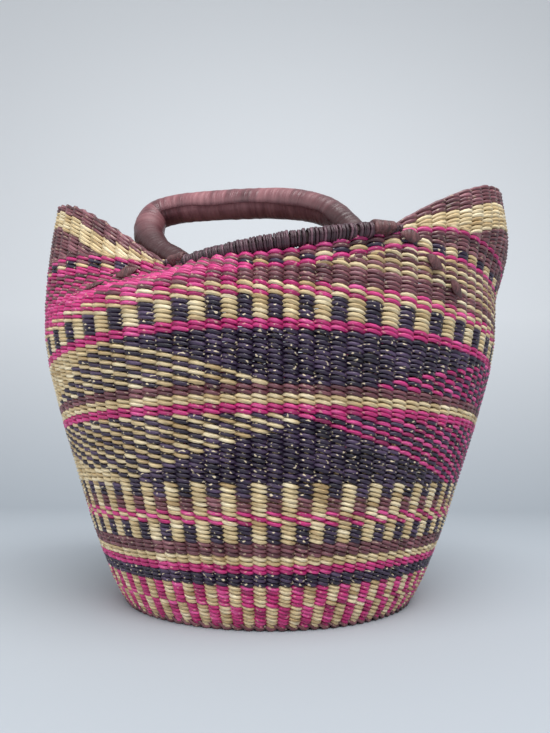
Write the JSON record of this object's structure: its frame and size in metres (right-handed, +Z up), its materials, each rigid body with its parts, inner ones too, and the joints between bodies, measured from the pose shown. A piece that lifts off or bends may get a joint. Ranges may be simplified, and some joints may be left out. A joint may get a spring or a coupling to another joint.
{
  "type": "woven grass shopping basket",
  "caption": "Round twined grass shopping basket with striped and checked bands, raised ends and two leather-covered handles that lean over the mouth.",
  "frame": {"origin": "centre of the underside of the bottom disc, where the basket stands", "axes": "+Z up towards the mouth; -Y towards the front, where the folded rim and the front handle are; +X towards the right raised end as seen from the front"},
  "size_m": [0.4309, 0.4222, 0.3506],
  "materials": {
    "pink_grass": "dyed twisted grass, matte with a faint straw sheen, pink and tan checks",
    "magenta_grass": "dyed twisted grass, matte with a faint straw sheen",
    "tan_grass": "undyed twisted grass, matte with a faint straw sheen",
    "navy_grass": "dyed twisted grass, dark blue, matte with a faint straw sheen",
    "brown_grass": "dyed twisted grass, purplish brown, matte with a faint straw sheen",
    "straw": "undyed straw, smooth and slightly glossy",
    "whipping_grass": "dark dyed grass wound tightly around the rim",
    "grass_core": "bundled dry grass, matte",
    "leather": "red-brown goat leather, wrinkled, half gloss"
  },
  "bodies": {
    "basket": {"base_disc": "brown_grass", "stakes": "straw", "checks_low_weft": "pink_grass", "navy_low_weft": "navy_grass", "magenta_low_weft": "magenta_grass", "tan_low_weft": "tan_grass", "brown_low_weft": "brown_grass", "posts_weft": "tan_grass", "lower_field_weft": "navy_grass", "magenta_mid_weft": "magenta_grass", "tan_mid_weft": "tan_grass", "brown_mid_weft": "brown_grass", "upper_field_weft": "navy_grass", "magenta_upper_weft": "magenta_grass", "checks_upper_weft": "tan_grass", "candy_weft": "pink_grass", "shoulder_weft": "brown_grass", "ear_right_weft": "tan_grass", "ear_left_weft": "tan_grass", "ear_right_border": "brown_grass", "ear_left_border": "brown_grass", "rim_core_front": "grass_core", "rim_whipping_front": "whipping_grass", "rim_core_back": "grass_core", "rim_whipping_back": "whipping_grass", "rim_loop_front_right": "leather", "lacing_tail_front_right": "leather", "rim_loop_front_left": "leather", "lacing_tail_front_left": "leather", "rim_loop_back_left": "leather", "lacing_tail_back_left": "leather", "rim_loop_back_right": "leather", "lacing_tail_back_right": "leather"},
    "handle_front": {"handle_core_front": "grass_core", "handle_cover_front": "leather"},
    "handle_back": {"handle_core_back": "grass_core", "handle_cover_back": "leather"}
  },
  "joints": [
    {"name": "front_handle_hinge", "type": "hinge", "parent": "basket", "child": "handle_front", "pos_m": [0.00465, -0.16675, 0.24153], "axis": [0.9763, -0.1717, 0.1317], "range_deg": [-35, 8]},
    {"name": "back_handle_hinge", "type": "hinge", "parent": "basket", "child": "handle_back", "pos_m": [0, 0.17795, 0.24966], "axis": [-1, 0, 0], "range_deg": [-30, 40]}
  ]
}
